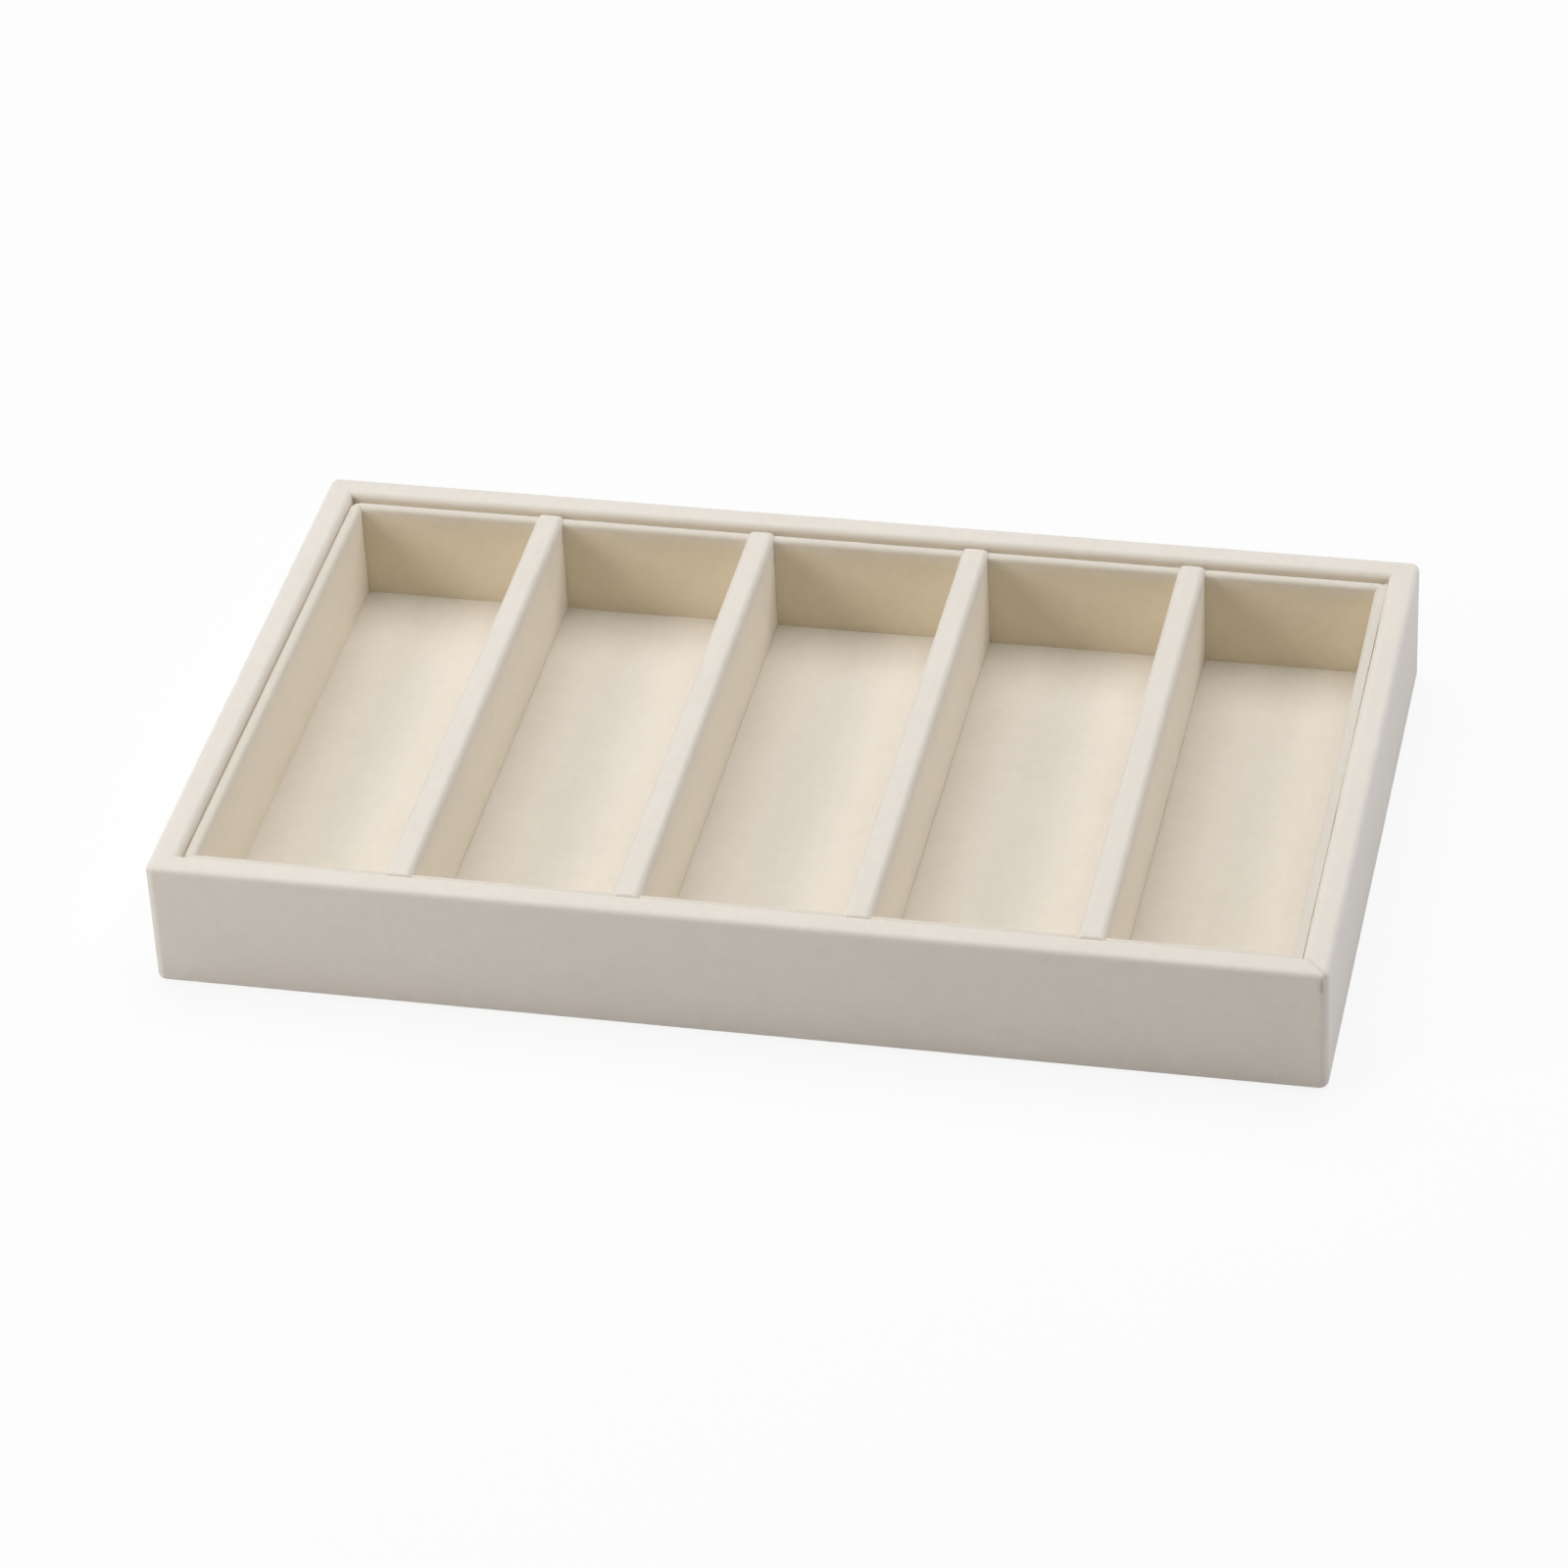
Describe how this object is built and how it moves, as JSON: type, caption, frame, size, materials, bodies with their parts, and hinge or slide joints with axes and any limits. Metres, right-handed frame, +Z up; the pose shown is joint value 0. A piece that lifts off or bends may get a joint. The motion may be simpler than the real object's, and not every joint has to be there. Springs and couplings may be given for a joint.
{
  "type": "eyeglasses display tray",
  "caption": "Shallow rectangular suede-covered tray with a lift-out insert, divided by thick upright partitions into long compartments that each hold a folded pair of eyeglasses.",
  "frame": {"origin": "centre of the underside, on the surface that the tray stands on", "axes": "+X along the tray's long side, to the right as seen from the front; +Y towards the back, along the compartments; +Z up"},
  "size_m": [0.35, 0.215, 0.0415],
  "materials": {
    "tray_suede": "cream flocked suede cloth, matte",
    "insert_suede": "cream flocked suede cloth, matte",
    "fibreboard": "bare fibreboard",
    "card": "bare grey board",
    "underside_felt": "pressed felt, matte",
    "base_lining": "thin lining cloth, matte"
  },
  "bodies": {
    "tray": {"front_wrap": "tray_suede", "back_wrap": "tray_suede", "left_wrap": "tray_suede", "right_wrap": "tray_suede", "front_rail": "fibreboard", "back_rail": "fibreboard", "left_rail": "fibreboard", "right_rail": "fibreboard", "base_board": "fibreboard", "underside_sheet": "underside_felt", "base_lining": "base_lining"},
    "insert": {"insert_front_wrap": "insert_suede", "insert_back_wrap": "insert_suede", "insert_left_wrap": "insert_suede", "insert_right_wrap": "insert_suede", "insert_front_board": "card", "insert_back_board": "card", "insert_left_board": "card", "insert_right_board": "card", "insert_base": "card", "divider_core_1": "fibreboard", "divider_core_2": "fibreboard", "divider_core_3": "fibreboard", "divider_core_4": "fibreboard", "divider_wrap_1": "insert_suede", "divider_wrap_2": "insert_suede", "divider_wrap_3": "insert_suede", "divider_wrap_4": "insert_suede", "floor_card_1": "card", "floor_card_2": "card", "floor_card_3": "card", "floor_card_4": "card", "floor_card_5": "card", "floor_suede_1": "insert_suede", "floor_suede_2": "insert_suede", "floor_suede_3": "insert_suede", "floor_suede_4": "insert_suede", "floor_suede_5": "insert_suede"}
  },
  "joints": [
    {"name": "insert_lift", "type": "slide", "parent": "tray", "child": "insert", "axis": [0, 0, 1], "range_m": [0, 0.045]}
  ]
}
